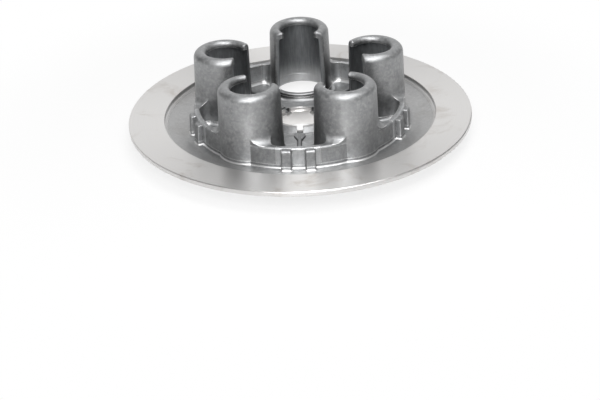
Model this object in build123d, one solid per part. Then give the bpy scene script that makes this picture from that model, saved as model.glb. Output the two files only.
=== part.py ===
from build123d import *
import math
import os

os.makedirs("parts", exist_ok=True)

# Pressure plate of a five-spring clutch: one aluminium casting with a machined friction ring.
# Millimetres. The plate's axis is Z, the spring cups stand up on +Z, and Z = 0 is the low
# edge of the hub's lip on the domed outer face. The casting is divided into named regions
# that meet face to face. A cup and a wall are made at azimuth 90 degrees and spun into place.

# --- driving dimensions ---
cup_count = 5
first_cup = 90.0          # azimuth of the first cup, degrees
draft = 1.6               # casting draft of every standing wall, degrees

plate_r = 70.0
friction_z = 9.7          # height of the machined friction face
flange_t = 2.05
flange_round = 0.4
ring_step = 1.85          # friction face down to the recess inside it
ring_foot = 0.8
ring_overlap = 1.2        # the ring's region reaches this far inside its inner edge

lip_t = 0.55              # the hub's lip stands this far out of the domed outer face
dome_r = 362.0            # sphere radius of the outer face
disc_under_ring = 4.4     # the raised, domed disc reaches this far under the friction ring
disc_round = 1.8
disc_root = 0.35

floor_z = 5.75
floor_margin = 3.75       # flat floor to this far outside the skirt
recess_run = 8.5          # beyond it a cone climbs over this length to the ring's inner edge
floor_bend = 8.0
split_z = 7.4             # cups, walls and ribs belong to the web below this height

pitch_r = 32.0
cup_foot_r = 13.05
cup_wall_t = 1.55
cup_top_z = 34.15
cup_top_round = 3.0
seat_t = 2.5
seat_corner = 1.0
seat_hole_r = 7.9
seat_hole_shift = 0.65    # the hole's centre from the cup's axis, towards the plate's axis
slot_plane = 7.2          # the cup is cut off this far inside its own axis
sill_h = 2.95             # wall left below that cut, above the floor
sill_corner = 1.5
slot_edge = 0.8           # round of that cut's edge against the cup's outside
seat_edge = 1.8           # roll of the seat hole's rim
tip_round = 1.2           # the two tips of the C-shaped seat, seen from above
tip_edge = 1.1            # roll of their top edge
mouth_round = 1.0

cup_proud = 1.8           # the cups stand this far out of the skirt's outer face
skirt_wall_t = 2.5
skirt_h = 8.65
skirt_tuck = 2.2          # each wall runs on this far inside the cups at its ends, degrees
skirt_clear = 0.23        # its plain middle ends this far short of the cups, degrees
skirt_edge = 0.8
cup_blend = 3.2           # fillet from the wall's top up to the cup
pocket_corner = 3.0
pocket_foot = 1.5
outer_foot = 0.7

drive_rib_angle = 6.1     # either side of the gap's middle, degrees
drive_rib_w = 4.0
drive_rib_proud = 2.15
drive_rib_drop = 0.2      # rib top below the wall top
drive_rib_top = 1.0       # round of the top's outer edge
drive_rib_edge = 0.5

web_rib_w = 1.8
web_rib_h = 1.2
web_rib_start = 15.6
web_pad_w = 4.6           # the rib's head is a low pad, widest where the rib starts
web_pad_mouth_w = 3.6     # its width at the edge of the boss
web_pad_tail = 4.0        # it tapers into the rib over this length
web_pad_tuck = 0.1        # and ends this far inside the rib's sides
web_pad_h = 0.8
web_pad_edge = 0.4

bore_r = 8.1
bore_mouth = 0.4
counterbore_r = 8.9
counterbore_h = 1.5
hub_r = 10.1
hub_h = 1.8
hub_edge = 0.5
hub_foot_r = 12.7         # the hub's side slopes out to this radius at the floor
hub_foot = 1.2
lip_r = 10.6
boss_r = 13.6
groove_w = 2.5
groove_start = 13.4       # radius where the oil groove leaves the floor
groove_end_z = 5.15       # height of the groove's floor where it enters the bore
groove_corner = 0.5

# --- derived sizes ---
slope = math.tan(math.radians(draft))
step_angle = 360.0 / cup_count
half_step = step_angle / 2
skirt_middle = half_step - math.degrees(math.asin(cup_foot_r / pitch_r)) - skirt_clear
shelf_z = floor_z + skirt_h
blend_top_z = shelf_z + cup_blend
sill_z = floor_z + sill_h
seat_z = cup_top_z - seat_t
skirt_r = pitch_r + cup_foot_r - cup_proud
cup_cosine = (skirt_r ** 2 + pitch_r ** 2 - cup_foot_r ** 2) / (2 * skirt_r * pitch_r)
skirt_half = half_step - math.degrees(math.acos(cup_cosine)) + skirt_tuck
floor_r = skirt_r + floor_margin
ring_inner_r = floor_r + recess_run
disc_r = ring_inner_r + disc_under_ring
flange_z = friction_z - flange_t
recess_z = friction_z - ring_step
recess_slope = (recess_z - floor_z) / (ring_inner_r - floor_r)
web_edge_r = ring_inner_r - ring_overlap
web_edge_z = floor_z + recess_slope * (web_edge_r - floor_r)
hub_z = floor_z + hub_h
counterbore_z = hub_z - counterbore_h
below = -5.0              # a height under the whole casting, where cutters start
tall = 2 * cup_top_z      # a length that passes the whole casting
over = 1.0                # a cutter runs this far past what it cuts
eps = 1e-3

UP = (Align.CENTER, Align.CENTER, Align.MIN)


def cup_r(z):
    """Outer radius of a cup's drafted wall at height z."""
    return cup_foot_r - slope * (z - floor_z)


def dome_z(r):
    """Height of the domed outer face at radius r."""
    return lip_t + dome_r - math.sqrt(dome_r ** 2 - r ** 2)


def frustum(r, z0, z1, taper):
    """Round solid from z0 to z1 with radius r at z0, narrower by taper per unit of height."""
    height = z1 - z0
    return Pos(0, 0, z0) * Cone(r, r - taper * height, height, align=UP)


def turned(corners, rounds):
    """Revolve a closed profile of (r, z) corners; rounds maps a corner's index to a radius."""
    face = make_face(Polyline(*corners, close=True))
    for index, radius in rounds.items():
        r, z = corners[index]
        spot = min(face.vertices(), key=lambda v: math.hypot(v.X - r, v.Y - z))
        face = fillet([spot], radius)
    return revolve(Plane.XZ * face, Axis.Z)


def sector(half, z0, z1):
    """Wedge with its point on the axis, half degrees either side of azimuth 90."""
    angle = math.radians(half)
    reach = 1.5 * plate_r
    x = reach * math.sin(angle)
    y = reach * math.cos(angle)
    pie = make_face(Polyline((0, 0), (x, y), (-x, y), close=True))
    return extrude(Pos(0, 0, z0) * pie, z1 - z0)


def spin(index):
    """Turn from azimuth 90 to cup number index; a half counts on to the gap after that cup."""
    return Rot(0, 0, first_cup - 90 + step_angle * index)


def level_edges(solid, z):
    """Edges of the solid that lie in the plane at height z."""
    found = []
    for edge in solid.edges():
        box = edge.bounding_box()
        if abs(box.min.Z - z) < eps and abs(box.max.Z - z) < eps:
            found.append(edge)
    return found


def upright_edges(solid, z0, z1):
    """Edges that climb straight from z0 to z1."""
    found = []
    for edge in solid.edges():
        box = edge.bounding_box()
        spans = abs(box.min.Z - z0) < eps and abs(box.max.Z - z1) < eps
        if spans and edge.length < 1.3 * (z1 - z0):
            found.append(edge)
    return found


def away(edge):
    """Distance of an edge's middle from the plate's axis."""
    middle = edge.position_at(0.5)
    return math.hypot(middle.X, middle.Y)


def export(solid, name):
    """Write one node's solid to its STEP file."""
    solid.label = name
    export_step(solid, f"parts/{name}.step")


# --- shapes that several regions share ---
# Everything under the domed outer face; the ball's seam is turned to run through a gap.
ball = Rot(0, 0, first_cup - half_step) * Pos(0, 0, lip_t + dome_r) * Sphere(dome_r)
under_dome = Pos(0, 0, below) * Cylinder(plate_r, friction_z - below, align=UP) - ball

# The star-shaped pocket between the cups, inside the skirt.
pocket = frustum(skirt_r - skirt_wall_t, floor_z, blend_top_z, -slope)
for k in range(cup_count):
    pocket -= spin(k) * Pos(0, pitch_r) * frustum(cup_foot_r, floor_z, blend_top_z, slope)
pocket = fillet(upright_edges(pocket, floor_z, blend_top_z), pocket_corner)
pocket = fillet(level_edges(pocket, floor_z), pocket_foot)
gap_pocket = spin(-0.5) * pocket

# The spring's bore: open at the domed face, closed by the seat at the top.
spring_bore = turned(
    [(0, below), (cup_r(below) - cup_wall_t, below), (cup_r(seat_z) - cup_wall_t, seat_z), (0, seat_z)],
    {2: seat_corner},
)
spring_bore = Pos(0, pitch_r) * spring_bore

# --- skirt wall: the plain middle of the wall that closes one gap ---
skirt_ring = frustum(skirt_r, floor_z, shelf_z, slope)
skirt_ring = fillet(level_edges(skirt_ring, shelf_z), skirt_edge)
skirt_wall = (skirt_ring & sector(skirt_middle, split_z, shelf_z)) - gap_pocket

# --- drive rib: stands against the outside of the wall, on its foot in the web ---
rib_back = skirt_r - skirt_wall_t / 2
rib_face = skirt_r + drive_rib_proud
rib_top_z = shelf_z - drive_rib_drop
rib_face_top = rib_face - slope * (rib_top_z - floor_z)
rib_side = make_face(Polyline(
    (rib_back, floor_z), (rib_face, floor_z), (rib_face_top, rib_top_z), (rib_back, rib_top_z), close=True))
rib_side = fillet([max(rib_side.vertices(), key=lambda v: v.X + v.Y)], drive_rib_top)
rib_block = extrude(Plane.YZ * rib_side, drive_rib_w / 2, both=True)
rib_corners = []
for edge in rib_block.edges():
    middle = edge.position_at(0.5)
    on_a_side = abs(abs(middle.X) - drive_rib_w / 2) < eps
    if on_a_side and middle.Y > rib_back + eps and middle.Z > floor_z + eps:
        rib_corners.append(edge)
rib_block = fillet(rib_corners, drive_rib_edge)
rib_foot = rib_block & frustum(plate_r, floor_z, split_z, slope)
rib_places = []
for k in range(cup_count):
    for angle in (-drive_rib_angle, drive_rib_angle):
        rib_places.append(spin(k + 0.5) * Rot(0, 0, angle))
drive_rib = rib_block - rib_foot - skirt_ring

# --- spring cup: with the ends of the two skirt walls that run into its outer half ---
beside_cup = sector(half_step - skirt_middle, split_z, blend_top_z)
beside_cup -= sector(half_step - skirt_half, split_z, blend_top_z)
beside_cup &= Pos(0, pitch_r) * Box(2 * plate_r, plate_r, tall, align=(Align.CENTER, Align.MIN, Align.MIN))
wings = (beside_cup & skirt_ring) - pocket

tip_r = cup_r(blend_top_z)
dip = cup_blend * (1 - math.sqrt(0.5))
inside_r = tip_r - cup_wall_t / 2
blend_face = make_face([
    Line((inside_r, shelf_z), (tip_r + cup_blend, shelf_z)),
    ThreePointArc((tip_r + cup_blend, shelf_z), (tip_r + dip, shelf_z + dip), (tip_r, blend_top_z)),
    Line((tip_r, blend_top_z), (inside_r, blend_top_z)),
    Line((inside_r, blend_top_z), (inside_r, shelf_z)),
])
blend = Pos(0, pitch_r) * revolve(Plane.XZ * blend_face, Axis.Z)
blend = (blend & beside_cup & frustum(skirt_r, floor_z, blend_top_z, slope)) - pocket

cup = turned(
    [(0, split_z), (cup_r(split_z), split_z), (cup_r(cup_top_z), cup_top_z), (0, cup_top_z)],
    {2: cup_top_round},
)
reach = cup_foot_r + over
opening = Box(2 * reach, reach - slot_plane, cup_top_z, align=(Align.CENTER, Align.MAX, Align.MIN))
opening = fillet([max(level_edges(opening, 0), key=lambda e: e.center().Y)], sill_corner)
cup -= Pos(0, -slot_plane, sill_z) * opening
slot_outline = []
for edge in cup.edges():
    box = edge.bounding_box()
    in_cut = abs(box.min.Y + slot_plane) < eps and abs(box.max.Y + slot_plane) < eps
    if in_cut and box.min.Z > sill_z + sill_corner - eps and box.max.Z > sill_z + sill_corner + eps:
        slot_outline.append(edge)
cup = fillet(slot_outline, slot_edge)

# The seat's hole with its rolled rim, and the two tips left between the hole and the cut.
seat_hole = turned([
    (0, seat_z - over), (seat_hole_r, seat_z - over), (seat_hole_r, cup_top_z),
    (cup_foot_r, cup_top_z), (cup_foot_r, cup_top_z + over), (0, cup_top_z + over),
], {2: seat_edge})
tip_y = tip_round - slot_plane
tip_x = math.sqrt((seat_hole_r + tip_round) ** 2 - (tip_y + seat_hole_shift) ** 2)
tip_post = turned(
    [(0, seat_z - over), (tip_round, seat_z - over), (tip_round, cup_top_z), (0, cup_top_z)],
    {2: tip_edge},
)
tip_wedge = make_face(Polyline(
    (tip_x, tip_y), (tip_x, -reach), (0, -reach), (0, -seat_hole_shift), close=True))
tip_wedge = extrude(Pos(0, 0, seat_z - over) * tip_wedge, seat_t + 2 * over)
tip_wedge -= Pos(tip_x, tip_y) * tip_post
cup -= Pos(0, -seat_hole_shift) * seat_hole
cup -= [tip_wedge, mirror(tip_wedge, about=Plane.YZ)]
spring_cup = Pos(0, pitch_r) * cup + wings + blend - spring_bore

# --- web disc: domed floor, with the feet of the cups and walls up to split_z ---
web = turned([
    (boss_r, below), (web_edge_r, below), (web_edge_r, web_edge_z), (floor_r, floor_z), (boss_r, floor_z),
], {3: floor_bend})
root_z = floor_z - over
wall_foot = sector(skirt_half, root_z, split_z)
wall_foot &= frustum(skirt_r + slope * over, root_z, split_z, slope)
cup_foot = Pos(0, pitch_r) * frustum(cup_r(root_z), root_z, split_z, slope)
feet = [frustum(pitch_r, root_z, split_z, slope)]
for k in range(cup_count):
    feet.append(spin(k) * cup_foot)
    feet.append(spin(k + 0.5) * wall_foot)
feet += [place * rib_foot for place in rib_places]
feet = feet[0].fuse(*feet[1:]) - Cylinder(boss_r + over, tall)
web += feet
feet_reach = max(rib_face, pitch_r + cup_foot_r)
foot_edges = [e for e in level_edges(web, floor_z) if pitch_r < away(e) < feet_reach + eps]
web = fillet(foot_edges, outer_foot)
web = web - pocket - under_dome
for k in range(cup_count):
    web -= spin(k) * spring_bore
mouths = [e for e in web.edges() if e.center().Z < dome_z(skirt_r) and away(e) > boss_r + eps]
web = fillet(mouths, mouth_round)

# --- friction ring: machined flat on top, with the rim of the domed disc under it ---
ring = turned([
    (web_edge_r, below), (disc_r, below), (disc_r, flange_z), (plate_r, flange_z), (plate_r, friction_z),
    (ring_inner_r, friction_z), (ring_inner_r, recess_z), (web_edge_r, web_edge_z),
], {2: disc_root, 3: flange_round, 4: flange_round, 6: ring_foot})
ring -= under_dome
disc_rim_z = dome_z(disc_r)
disc_rim = [e for e in level_edges(ring, disc_rim_z) if abs(away(e) - disc_r) < eps]
ring = fillet(disc_rim, min(disc_round, flange_z - disc_rim_z - disc_root / 2))

# --- centre boss: bore, counterbored hub, lip and five slanting oil grooves ---
boss = turned([
    (bore_r, below), (boss_r, below), (boss_r, floor_z), (hub_foot_r, floor_z), (hub_r, hub_z),
    (counterbore_r, hub_z), (counterbore_r, counterbore_z), (bore_r, counterbore_z),
], {3: hub_foot, 4: hub_edge})
boss -= under_dome
boss += turned(
    [(bore_r, 0), (lip_r, 0), (lip_r + lip_t, 2 * lip_t), (bore_r, 2 * lip_t)],
    {0: bore_mouth, 1: lip_t / 2},
)
groove_run = groove_start - bore_r
groove_tilt = math.degrees(math.atan2(floor_z - groove_end_z, groove_run))
groove = Box(groove_w, 3 * groove_run, tall, align=UP)
groove = fillet([e for e in level_edges(groove, 0) if e.length > groove_w + eps], groove_corner)
groove = Pos(0, groove_start, floor_z) * Rot(groove_tilt, 0, 0) * groove
for k in range(cup_count):
    boss -= spin(k + 0.5) * groove

# --- web rib: a low half-round rib on the floor, from its head at the boss to the wall ---
crest_r = web_rib_w / 2
web_rib_run = skirt_r - skirt_wall_t - web_rib_start
crest = Pos(0, web_rib_start, floor_z + web_rib_h - crest_r)
web_rib = crest * Rot(-90, 0, 0) * Cylinder(crest_r, web_rib_run, align=UP)
web_rib += crest * Sphere(crest_r)
web_rib += Pos(0, web_rib_start, floor_z) * Cylinder(crest_r, web_rib_h - crest_r, align=UP)
web_rib += Pos(0, web_rib_start, floor_z) * Box(
    web_rib_w, web_rib_run, web_rib_h - crest_r, align=(Align.CENTER, Align.MIN, Align.MIN))
pad_half = [
    (web_pad_mouth_w / 2, boss_r - over), (web_pad_w / 2, web_rib_start),
    (crest_r - web_pad_tuck, web_rib_start + web_pad_tail),
]
pad_face = make_face(Polyline(*pad_half, *[(-x, y) for x, y in reversed(pad_half)], close=True))
pad = extrude(Pos(0, 0, floor_z) * pad_face, web_pad_h)
pad = fillet(level_edges(pad, floor_z + web_pad_h), web_pad_edge)
web_rib += pad - Cylinder(boss_r, tall)
web_rib &= Pos(0, 0, floor_z) * Cylinder(plate_r, friction_z, align=UP)
web_rib -= spin(-0.5) * web

# --- the nodes ---
export(ring, "friction_ring")
export(web, "web_disc")
export(boss, "centre_boss")
for k in range(cup_count):
    export(spin(k) * spring_cup, f"spring_cup_{k + 1}")
    export(spin(k + 0.5) * skirt_wall, f"skirt_wall_{k + 1}")
    export(spin(k + 0.5) * web_rib, f"web_rib_{k + 1}")
for k, place in enumerate(rib_places):
    export(place * drive_rib, f"drive_rib_{k + 1}")
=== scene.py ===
import bpy
import math
from mathutils import Matrix, Vector


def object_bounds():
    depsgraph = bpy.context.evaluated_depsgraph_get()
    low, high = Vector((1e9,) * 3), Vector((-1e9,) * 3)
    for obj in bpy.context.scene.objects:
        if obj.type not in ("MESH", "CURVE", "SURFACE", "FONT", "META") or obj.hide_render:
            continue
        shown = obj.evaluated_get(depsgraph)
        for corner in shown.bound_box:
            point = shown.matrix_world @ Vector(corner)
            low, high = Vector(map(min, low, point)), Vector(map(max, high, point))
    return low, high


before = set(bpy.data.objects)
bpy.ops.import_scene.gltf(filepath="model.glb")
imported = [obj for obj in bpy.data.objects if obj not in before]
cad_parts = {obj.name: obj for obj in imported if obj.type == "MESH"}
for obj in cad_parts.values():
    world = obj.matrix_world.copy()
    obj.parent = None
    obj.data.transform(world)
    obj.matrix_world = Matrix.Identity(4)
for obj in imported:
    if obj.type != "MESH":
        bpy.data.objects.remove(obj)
cad_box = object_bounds()

MM = 0.001

# --- sizes of the part that the finishes follow, in millimetres ---
FRICTION_Z = 9.7
FLANGE_Z = 7.65
PLATE_R = 70.0
RING_INNER_R = 55.5
FLOOR_Z = 5.75
FLOOR_R = 46.0             # where the flat floor bends up into the recess
HUB_R = 10.1
CUP_COUNT = 5
FIRST_CUP = 90             # azimuth of the first cup, degrees
PITCH_R = 32.0
CUP_FOOT_R = 13.05
CUP_WALL = 1.55
CUP_SLOPE = 0.028          # the cup's radius shrinks by this much per unit of height
SEAT_Z = 31.65             # underside of the seat that closes a cup's bore

# --- camera ---
IMAGE_WIDTH = 600
IMAGE_HEIGHT = 400
FOCAL_PX = 1741.2          # focal length in picture pixels
DISTANCE = 717.2           # from the plate's axis, millimetres
ELEVATION = 26.12          # degrees above the plate
PLATE_TURN = -1.81         # the plate's first cup against the line of sight, degrees
ROLL = -2.49               # degrees; the plate's left side hangs lower
AIM_Z = 0.55               # the point on the axis that lands on the pixel below
AIM_PX = (300.87, 131.6)
SENSOR = 36
CLIP_NEAR = 0.01
CLIP_FAR = 50


def place_camera():
    """Camera on its line of sight, swung so that the aim point lands on its pixel."""
    tilt = math.radians(ELEVATION)
    turn = Matrix.Rotation(math.radians(-PLATE_TURN), 3, "Z")
    forward = turn @ Vector((0, math.cos(tilt), -math.sin(tilt)))
    spot = Vector((0, 0, AIM_Z * MM)) - forward * DISTANCE * MM
    right = forward.cross(Vector((0, 0, 1))).normalized()
    level = Matrix((right, right.cross(forward), -forward)).transposed()
    rolled = level @ Matrix.Rotation(math.radians(ROLL), 3, "Z")
    across = (AIM_PX[0] - IMAGE_WIDTH / 2) / FOCAL_PX
    above = (IMAGE_HEIGHT / 2 - AIM_PX[1]) / FOCAL_PX
    swing = Vector((across, above, -1)).rotation_difference(Vector((0, 0, -1))).to_matrix()
    data = bpy.data.cameras.new("camera")
    data.sensor_width = SENSOR
    data.lens = FOCAL_PX / IMAGE_WIDTH * SENSOR
    data.clip_start = CLIP_NEAR
    data.clip_end = CLIP_FAR
    camera = bpy.data.objects.new("camera", data)
    camera.matrix_world = Matrix.Translation(spot) @ (rolled @ swing).to_4x4()
    bpy.context.collection.objects.link(camera)
    bpy.context.scene.camera = camera


# --- node trees ---
AIR_SAMPLES = 6            # rays per shading point for corners and for edges


class Graph:
    """Short calls that build one node tree."""

    def __init__(self, tree):
        self.tree = tree
        self.tree.nodes.clear()

    def add(self, kind, **settings):
        node = self.tree.nodes.new("ShaderNode" + kind)
        for name, value in settings.items():
            setattr(node, name, value)
        return node

    def feed(self, socket, value):
        if isinstance(value, bpy.types.NodeSocket):
            self.tree.links.new(value, socket)
        else:
            socket.default_value = value

    def feed_all(self, node, values):
        for socket, value in zip(node.inputs, values):
            self.feed(socket, value)
        return node

    def math(self, operation, *values):
        return self.feed_all(self.add("Math", operation=operation), values).outputs[0]

    def vector(self, operation, *values):
        return self.feed_all(self.add("VectorMath", operation=operation), values)

    def times(self, first, *others):
        for other in others:
            first = self.math("MULTIPLY", first, other)
        return first

    def invert(self, share):
        return self.math("SUBTRACT", 1.0, share)

    def length(self, a, b):
        return self.math("SQRT", self.math("ADD", self.times(a, a), self.times(b, b)))

    def components(self, vector):
        return self.feed_all(self.add("SeparateXYZ"), [vector]).outputs

    def remap(self, value, from_low, from_high, to_low=0.0, to_high=1.0):
        """A smooth step from to_low at from_low to to_high at from_high."""
        node = self.add("MapRange", interpolation_type="SMOOTHSTEP")
        return self.feed_all(node, (value, from_low, from_high, to_low, to_high)).outputs[0]

    def noise(self, place, scale, detail, roughness, distortion=0.0):
        node = self.add("TexNoise")
        self.feed(node.inputs["Vector"], place)
        node.inputs["Scale"].default_value = scale
        node.inputs["Detail"].default_value = detail
        node.inputs["Roughness"].default_value = roughness
        node.inputs["Distortion"].default_value = distortion
        return node.outputs["Fac"]

    def blend(self, share, first, second):
        """Mix of two colours."""
        node = self.add("Mix", data_type="RGBA", blend_type="MIX")
        self.feed(node.inputs[0], share)
        self.feed(node.inputs[6], first)
        self.feed(node.inputs[7], second)
        return node.outputs[2]

    def lerp(self, share, first, second):
        """Mix of two numbers."""
        node = self.add("Mix", data_type="FLOAT")
        self.feed(node.inputs[0], share)
        self.feed(node.inputs[2], first)
        self.feed(node.inputs[3], second)
        return node.outputs[0]

    def openness(self, reach, closed, clear):
        """1 in the open, falling to 0 in corners, looking reach millimetres around."""
        node = self.add("AmbientOcclusion", samples=AIR_SAMPLES)
        node.inputs["Distance"].default_value = reach * MM
        return self.remap(node.outputs["AO"], closed, clear)

    def bump(self, height, distance, normal):
        node = self.add("Bump")
        node.inputs["Strength"].default_value = 1.0
        node.inputs["Distance"].default_value = distance
        self.feed(node.inputs["Height"], height)
        self.feed(node.inputs["Normal"], normal)
        return node.outputs[0]


def new_material(name):
    material = bpy.data.materials.new(name)
    material.use_nodes = True
    return material, Graph(material.node_tree)


def show(g, shader, kind="OutputMaterial"):
    g.feed(g.add(kind).inputs["Surface"], shader.outputs[0])


# --- the casting's finishes ---
def grey(value, warmth=0.0):
    """Linear grey, slightly warm or cool."""
    return (value * (1 + warmth), value, value * (1 - warmth), 1)


CAST_BASE = grey(0.35, -0.015)
# lighter base for the skirt walls: painted light
CAST_WALL_PAINTED_LIGHT = grey(0.50, -0.015)
# stain colour for blotches and bore streaks, also the painted shade in small corners
CAST_STAIN_AND_CORNER_SHADE = grey(0.19, -0.01)
# lighter tone for mottling and worn edges, also the painted highlight on the feet and the painted
# light in the bores
CAST_WEAR_AND_HIGHLIGHT = grey(0.72)
# painted shade between the cups
CAST_PAINTED_SHADE = grey(0.06)
BORE_BASE = grey(0.36, -0.04)
TURNED_BASE = grey(0.73, 0.012)
TURNED_STAIN = grey(0.52, 0.06)

# noise scales, per millimetre
BLOTCH_SCALE = 0.32
CLOUD_SCALE = 0.8
GRAIN_SCALE = 2.6
STREAK_SCALE = 1.3
STREAK_SQUEEZE = 0.12      # height counts this much, so the streaks run along the bore
STAIN_SCALE = 0.06
TOOL_MARKS = 3.0           # circular marks per millimetre of radius

# strengths, as the greatest share of the second colour
BLOTCH_SHARE = 0.42
CLOUD_SHARE = 0.30
MARKS_SHARE = 0.12
MOUTH_SHARE = 0.5          # a bore's skin is painted this much lighter towards its mouth: painted light

# places and reaches, in millimetres
EDGE_RADIUS = 0.45         # width of the wear on an edge
NEAR_REACH = 3.0           # how far the painted shade in small corners looks around
WIDE_REACH = 20.0          # the same for the painted shade between the cups
SHADE_FULL_R = 28.0        # upright faces this near the axis get the painted shade in full
SHADE_END_R = 38.0
FEET_R = 36.0              # the painted highlight on the feet starts this far out and is full at FEET_FULL_R
FEET_FULL_R = 38.0
FEET_FULL = 1.5            # height above the floor up to which a foot has the painted highlight in full
FEET_END = 3.0
MOUTH_TOP_Z = 14.0
RELIEF = 0.03              # depth of the skin's grain and of the tool marks

# roughness, from smooth to rough
CAST_ROUGH = (0.44, 0.56)
TURNED_ROUGH = (0.32, 0.39)
ACROSS_MARKS = 0.25        # quarter turn: the highlight spreads across the tool marks


def cup_depth(g, x, y, z):
    """How far a point lies inside the outer wall of the nearest spring cup, in millimetres."""
    step = math.tau / CUP_COUNT
    turn = g.math("SUBTRACT", g.math("ARCTAN2", y, x), math.radians(FIRST_CUP))
    turn = g.math("WRAP", turn, step / 2, -step / 2)
    radius = g.length(x, y)
    side = g.times(radius, g.math("SINE", turn))
    along = g.math("SUBTRACT", g.times(radius, g.math("COSINE", turn)), PITCH_R)
    shrink = g.times(g.math("SUBTRACT", z, FLOOR_Z), CUP_SLOPE)
    wall = g.math("SUBTRACT", CUP_FOOT_R, shrink)
    return g.math("SUBTRACT", wall, g.length(side, along))


def outer_skin(g, base, place, radius, z, cloud, soft_normal, true_normal):
    """Fine mottling, painted shade in small corners, worn edges, painted highlights on the feet,
    and painted shade between the cups.
    """
    blotch = g.noise(place, BLOTCH_SCALE, 5.0, 0.7, 0.3)
    skin = g.blend(g.remap(blotch, 0.45, 0.72, 0.0, BLOTCH_SHARE), base, CAST_STAIN_AND_CORNER_SHADE)
    skin = g.blend(g.remap(cloud, 0.40, 0.75, 0.0, CLOUD_SHARE), skin, CAST_WEAR_AND_HIGHLIGHT)
    alike = g.vector("DOT_PRODUCT", soft_normal, true_normal).outputs["Value"]
    edge = g.remap(alike, 0.995, 0.90)
    near_air = g.openness(NEAR_REACH, 0.2, 0.85)
    wide_air = g.openness(WIDE_REACH, 0.4, 1.0)
    facing_up = g.components(true_normal)[2]
    upright = g.remap(facing_up, 0.9, 0.4)
    inner = g.remap(radius, SHADE_END_R, SHADE_FULL_R)
    # painted shade: upright faces near the axis darkened where the wide-reach occlusion is closed
    skin = g.blend(g.times(g.invert(wide_air), upright, inner), skin, CAST_PAINTED_SHADE)
    skin = g.blend(g.times(edge, near_air), skin, CAST_WEAR_AND_HIGHLIGHT)
    # painted shade: small corners darkened where the short-reach occlusion is closed
    skin = g.blend(g.invert(near_air), skin, CAST_STAIN_AND_CORNER_SHADE)
    # painted highlight on the slanted fillets at the feet of the walls and cups
    slant = g.times(g.remap(facing_up, 0.05, 0.3), g.remap(facing_up, 0.96, 0.88))
    low = g.remap(z, FLOOR_Z + FEET_END, FLOOR_Z + FEET_FULL)
    outside = g.remap(radius, FEET_R, FEET_FULL_R)
    return g.blend(g.times(slant, low, outside), skin, CAST_WEAR_AND_HIGHLIGHT)


def bore_skin(g, place, z):
    """Bluish skin with streaks drawn out along the bore, with painted light that lightens it
    towards the mouth.
    """
    long_place = g.vector("MULTIPLY", place, (1.0, 1.0, STREAK_SQUEEZE)).outputs[0]
    streaks = g.noise(long_place, STREAK_SCALE, 3.0, 0.6)
    skin = g.blend(g.remap(streaks, 0.30, 0.80, 0.35, 1.0), CAST_STAIN_AND_CORNER_SHADE, BORE_BASE)
    # painted light: the bore's skin grows lighter towards its mouth
    return g.blend(g.remap(z, MOUTH_TOP_Z, FLOOR_Z, 0.0, MOUTH_SHARE), skin, CAST_WEAR_AND_HIGHLIGHT)


def aluminium(name, machined_zone, anisotropy, base=CAST_BASE):
    """Cast aluminium skin, with bright turned metal where machined_zone says so."""
    material, g = new_material(name)
    coords = g.add("TexCoord").outputs["Object"]
    place = g.vector("MULTIPLY", coords, (1 / MM, 1 / MM, 1 / MM)).outputs[0]
    x, y, z = g.components(place)
    radius = g.length(x, y)
    soft_edge = g.add("Bevel", samples=AIR_SAMPLES)
    soft_edge.inputs["Radius"].default_value = EDGE_RADIUS * MM
    soft_normal = soft_edge.outputs[0]
    true_normal = g.add("NewGeometry").outputs["Normal"]

    # cast skin, and a skin of its own inside the cups
    cloud = g.noise(place, CLOUD_SCALE, 3.0, 0.6)
    grain = g.noise(place, GRAIN_SCALE, 2.0, 0.5)
    skin = outer_skin(g, base, place, radius, z, cloud, soft_normal, true_normal)
    inside = g.remap(cup_depth(g, x, y, z), 0.3 * CUP_WALL, 0.8 * CUP_WALL)
    below_seat = g.remap(z, SEAT_Z, SEAT_Z - 0.5)
    skin = g.blend(g.times(inside, below_seat), skin, bore_skin(g, place, z))

    # turned metal: circular tool marks, a little staining
    ring_place = g.feed_all(g.add("CombineXYZ"), [g.times(radius, TOOL_MARKS)]).outputs[0]
    marks = g.noise(ring_place, 1.0, 2.0, 0.6)
    stain = g.noise(place, STAIN_SCALE, 5.0, 0.62, 0.8)
    bright = g.blend(g.remap(stain, 0.52, 0.78), TURNED_BASE, TURNED_STAIN)
    bright = g.blend(g.remap(marks, 0.3, 0.7, 0.0, MARKS_SHARE), bright, TURNED_STAIN)

    machined = machined_zone(g, radius, z, true_normal)
    cast_rough = g.remap(cloud, 0.3, 0.7, *CAST_ROUGH)
    turned_rough = g.remap(marks, 0.3, 0.7, *TURNED_ROUGH)
    lumps = g.math("ADD", g.times(grain, 0.6), cloud)
    relief = g.lerp(machined, lumps, g.times(marks, 0.5))
    shader = g.add("BsdfPrincipled")
    shader.inputs["Metallic"].default_value = 1.0
    shader.inputs["Anisotropic"].default_value = anisotropy
    shader.inputs["Anisotropic Rotation"].default_value = ACROSS_MARKS
    tangent = g.add("Tangent", direction_type="RADIAL", axis="Z")
    g.feed(shader.inputs["Tangent"], tangent.outputs[0])
    g.feed(shader.inputs["Base Color"], g.blend(machined, skin, bright))
    g.feed(shader.inputs["Roughness"], g.lerp(machined, cast_rough, turned_rough))
    g.feed(shader.inputs["Normal"], g.bump(relief, RELIEF * MM, soft_normal))
    show(g, shader)
    return material


# --- where a finish is turned; each gives a share from 0, cast, to 1, turned ---
STEP_TURNED = 0.5          # the rest of the ring's region
RECESS_TURNED = 0.3


def nowhere(g, radius, z, normal):
    return 0.0


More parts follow.
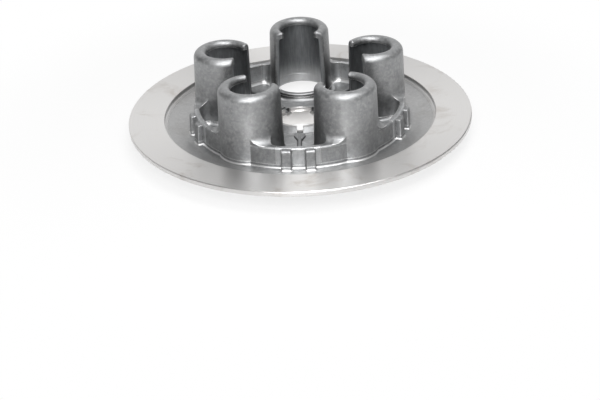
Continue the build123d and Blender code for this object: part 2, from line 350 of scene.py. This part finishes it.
def friction_faces(g, radius, z, normal):
    """The friction face, the plate's rim, and in part the step inside it."""
    high = g.remap(z, FRICTION_Z - 0.7, FRICTION_Z - 0.4)
    top = g.times(high, g.remap(radius, RING_INNER_R - 0.4, RING_INNER_R - 0.2))
    far_out = g.remap(radius, PLATE_R - 0.5, PLATE_R - 0.3)
    rim = g.times(far_out, g.remap(z, FLANGE_Z - 0.2, FLANGE_Z))
    return g.math("MAXIMUM", g.math("MAXIMUM", top, rim), STEP_TURNED)


def recess_faces(g, radius, z, normal):
    """The coned recess between the cups' floor and the friction face is turned, but duller."""
    outside = g.remap(radius, FLOOR_R - 2.0, FLOOR_R + 1.0)
    facing_up = g.remap(g.components(normal)[2], 0.85, 0.95)
    return g.times(outside, facing_up, RECESS_TURNED)


def bore_faces(g, radius, z, normal):
    """The bore, its counterbore and the hub's top."""
    return g.remap(radius, HUB_R, HUB_R - 0.3)


def finish_nodes():
    cast = aluminium("cast_aluminium_skin", nowhere, 0.0)
    # the skirt walls take a lighter copy of the cast skin: painted light
    wall = aluminium("cast_wall_skin_painted_light", nowhere, 0.0, CAST_WALL_PAINTED_LIGHT)
    special = {
        "friction_ring": aluminium("turned_friction_ring", friction_faces, 0.8),
        "web_disc": aluminium("turned_web", recess_faces, 0.6),
        "centre_boss": aluminium("bored_boss", bore_faces, 0.0),
    }
    for name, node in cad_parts.items():
        plain = wall if name.startswith("skirt_wall") else cast
        for slot in node.material_slots:
            slot.material = special.get(name, plain)


# --- studio, in metres ---
FLOOR_SIZE = 8.0
FLOOR_WHITE = 0.86
FLOOR_GLOW = 0.82          # share of plain white near the plate; the rest takes the shadow
SHADE_NEAR = 0.09          # from the plate's axis, where the floor's shading starts to fade
SHADE_FAR = 0.17
ROOM_FILL = 0.10           # the room's light on matt surfaces
ROOM_MIRRORED = 0.28       # the room as the metal mirrors it
BACKDROP_SIZE = (2.4, 1.3)
BACKDROP_DISTANCE = 1.3
BACKDROP_CLIMB = 28        # degrees above the plate, straight behind it
BACKDROP_SHADE = 0.95
SOFT_BOXES = [             # name, place, size, watts
    ("top_box", (0.18, -0.25, 0.9), (0.50, 0.75), 5.5),
    ("front_box", (-0.06, -0.85, 0.75), (0.50, 0.40), 9.5),
]


def sheet(name, width, height, material):
    """A flat rectangle of the stage, facing +Z."""
    x = width / 2
    y = height / 2
    mesh = bpy.data.meshes.new(name)
    mesh.from_pydata([(-x, -y, 0), (x, -y, 0), (x, y, 0), (-x, y, 0)], [], [(0, 1, 2, 3)])
    mesh.materials.append(material)
    piece = bpy.data.objects.new(name, mesh)
    bpy.context.collection.objects.link(piece)
    return piece


def seen_directly(g, paths):
    """1 for what the camera sees, straight or through a clear surface."""
    return g.math("MAXIMUM", paths.outputs["Is Camera Ray"], paths.outputs["Is Transmission Ray"])


def studio_floor():
    """Pale floor: it looks white, keeps the shadow, and is mirrored white only far off."""
    material, g = new_material("floor_white")
    coords = g.add("TexCoord").outputs["Object"]
    away = g.vector("LENGTH", coords).outputs["Value"]
    far = g.remap(away, SHADE_NEAR, SHADE_FAR)
    matte = g.add("BsdfDiffuse")
    matte.inputs["Color"].default_value = grey(FLOOR_WHITE)
    white = g.add("Emission")
    paths = g.add("LightPath")
    seen_share = g.times(seen_directly(g, paths), g.lerp(far, FLOOR_GLOW, 1.0))
    mirrored_share = g.times(paths.outputs["Is Glossy Ray"], far)
    mix = g.add("MixShader")
    g.feed(mix.inputs[0], g.math("MAXIMUM", seen_share, mirrored_share))
    g.feed(mix.inputs[1], matte.outputs[0])
    g.feed(mix.inputs[2], white.outputs[0])
    show(g, mix)
    floor = sheet("floor", FLOOR_SIZE, FLOOR_SIZE, material)
    floor.location.z = cad_box[0][2]


def backdrop():
    """A pale card behind the plate, which only the metal mirrors."""
    material, g = new_material("backdrop")
    glow = g.add("Emission")
    glow.inputs["Color"].default_value = grey(BACKDROP_SHADE)
    show(g, glow)
    climb = math.radians(BACKDROP_CLIMB)
    place = Vector((0, math.cos(climb), math.sin(climb))) * BACKDROP_DISTANCE
    card = sheet("backdrop", *BACKDROP_SIZE, material)
    card.location = place
    card.rotation_euler = (-place).to_track_quat("Z", "Y").to_euler()
    card.visible_camera = False
    card.visible_diffuse = False
    card.visible_shadow = False


def studio_world():
    """A white surround to the camera, and a dimmer room to the plate."""
    world = bpy.data.worlds.new("studio")
    bpy.context.scene.world = world
    world.use_nodes = True
    g = Graph(world.node_tree)
    paths = g.add("LightPath")
    room = g.lerp(paths.outputs["Is Glossy Ray"], ROOM_FILL, ROOM_MIRRORED)
    background = g.add("Background")
    background.inputs["Color"].default_value = grey(1.0)
    g.feed(background.inputs["Strength"], g.lerp(seen_directly(g, paths), room, 1.0))
    show(g, background, "OutputWorld")


def soft_box(name, place, size, watts):
    """A rectangular lamp that points at the plate's centre."""
    data = bpy.data.lights.new(name, "AREA")
    data.shape = "RECTANGLE"
    data.size, data.size_y = size
    data.energy = watts
    lamp = bpy.data.objects.new(name, data)
    lamp.location = place
    lamp.rotation_euler = (-Vector(place)).to_track_quat("-Z", "Y").to_euler()
    bpy.context.collection.objects.link(lamp)


place_camera()
bpy.context.scene.view_settings.view_transform = "Standard"
finish_nodes()
studio_floor()
studio_world()
for lamp_values in SOFT_BOXES:
    soft_box(*lamp_values)
backdrop()
